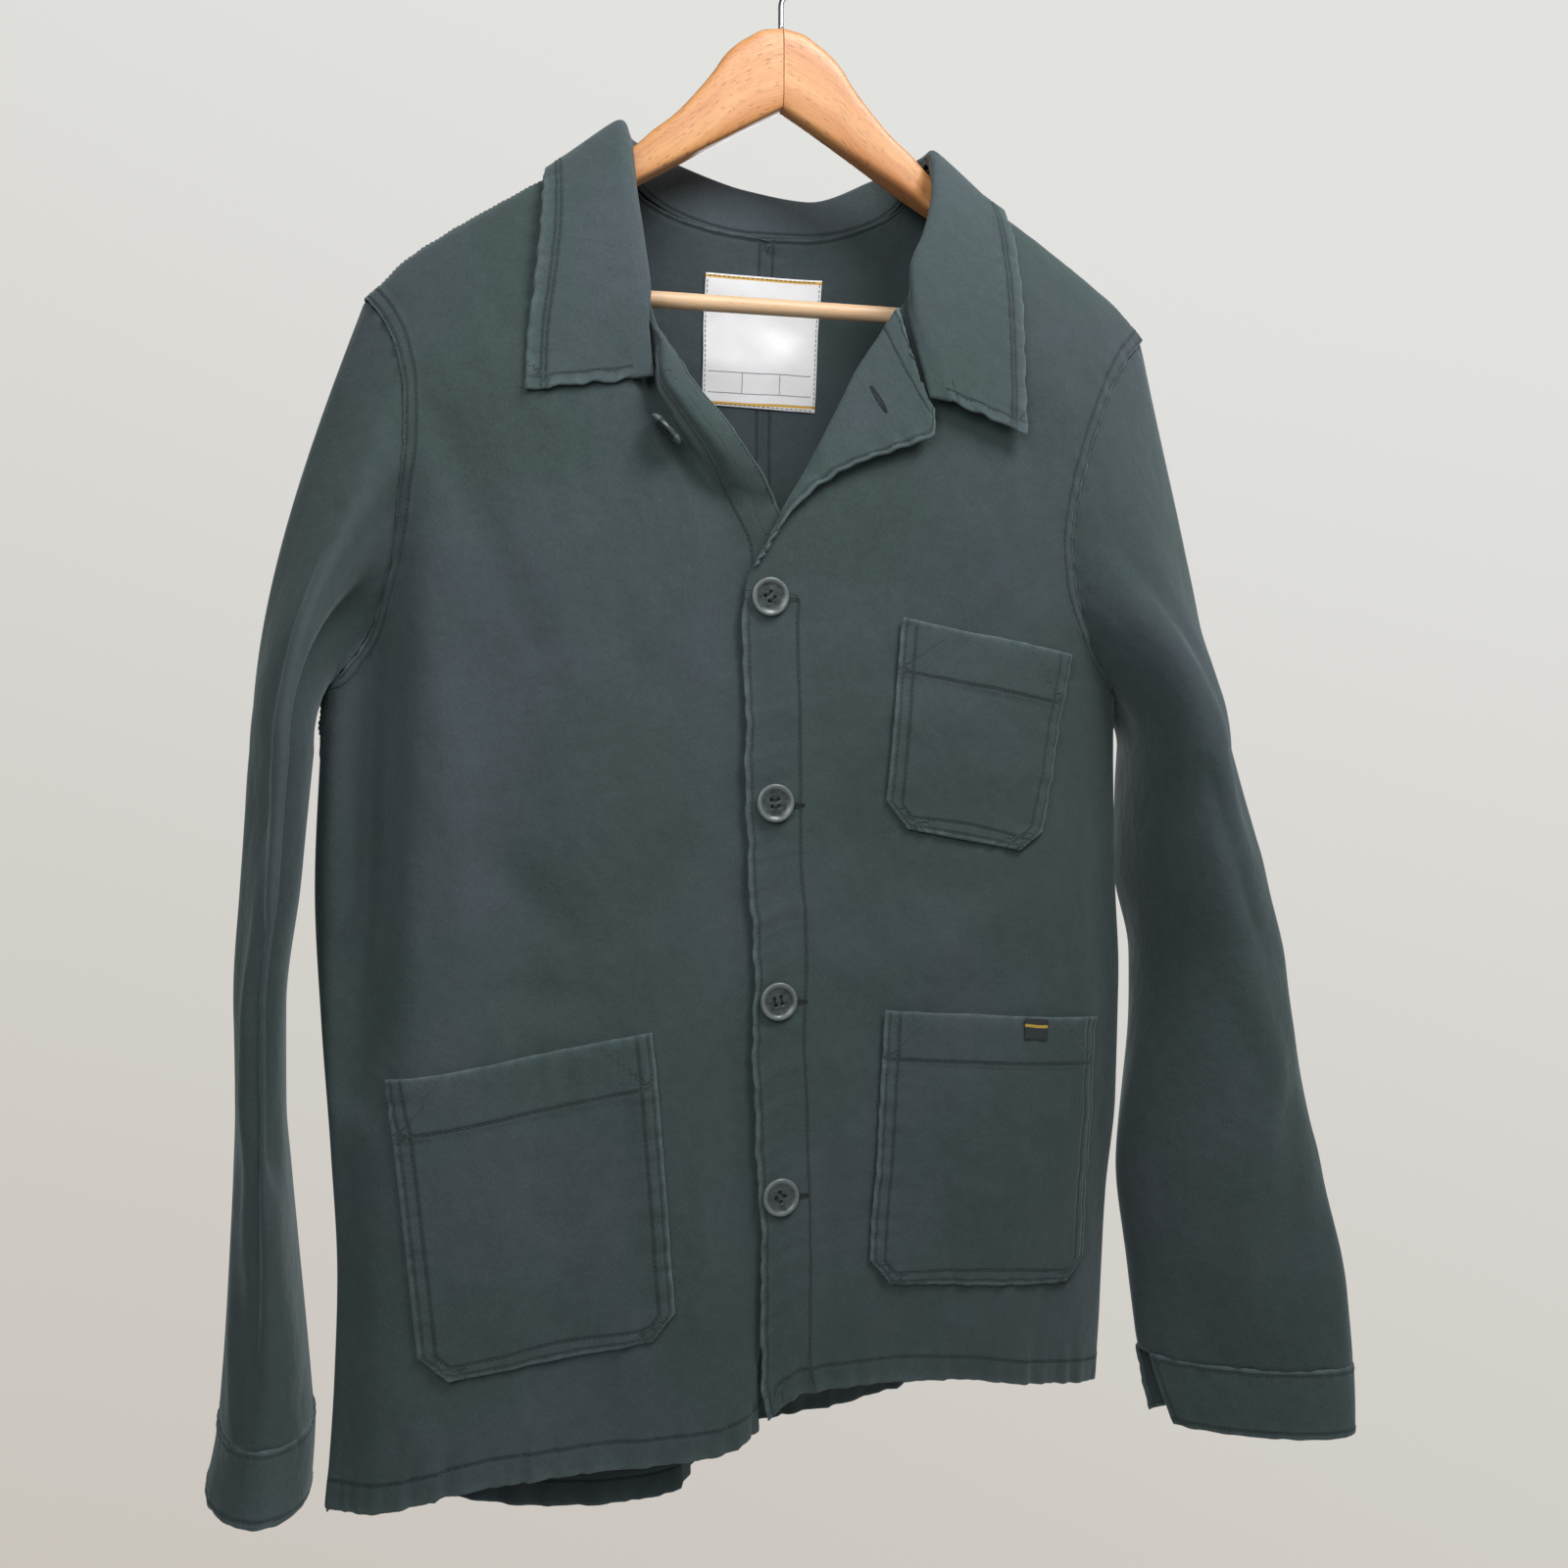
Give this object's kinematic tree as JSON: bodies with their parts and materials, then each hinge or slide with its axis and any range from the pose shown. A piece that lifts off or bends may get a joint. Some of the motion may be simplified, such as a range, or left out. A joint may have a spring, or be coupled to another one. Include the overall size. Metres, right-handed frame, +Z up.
{
  "type": "chore jacket on a wooden hanger",
  "caption": "Cotton work jacket with open collar, buttoned front and patch pockets, hanging on a wooden hanger by its wire hook.",
  "frame": {"origin": "where the hanger's hook rests on a rail: the inside of the top of its bend", "axes": "+Z up along the hook's stem, the jacket's front faces -Y, +X is the wearer's left"},
  "size_m": [0.6955, 0.1906, 0.9719],
  "materials": {
    "moleskin": "matte",
    "moleskin_facing": "matte",
    "tab_weave": "matte",
    "label_satin": "satin",
    "button_resin": "satin",
    "hanger_wood": "satin",
    "bar_wood": "satin",
    "hook_steel": "satin"
  },
  "bodies": {
    "root": {"front_right": "moleskin", "front_left": "moleskin", "back_right": "moleskin", "back_left": "moleskin", "facing_left": "moleskin_facing", "collar": "moleskin_facing", "sleeve_right": "moleskin", "cuff_right": "moleskin_facing", "sleeve_left": "moleskin", "cuff_left": "moleskin_facing", "pocket_hip_right": "moleskin", "pocket_hip_left": "moleskin", "pocket_chest": "moleskin", "pocket_tab": "tab_weave", "neck_label": "label_satin", "button_1": "button_resin", "button_2": "button_resin", "button_3": "button_resin", "button_4": "button_resin", "button_5": "button_resin", "hanger_arm_right": "hanger_wood", "hanger_arm_left": "hanger_wood", "hanger_bar": "bar_wood", "hanger_hook": "hook_steel"}
  },
  "joints": []
}
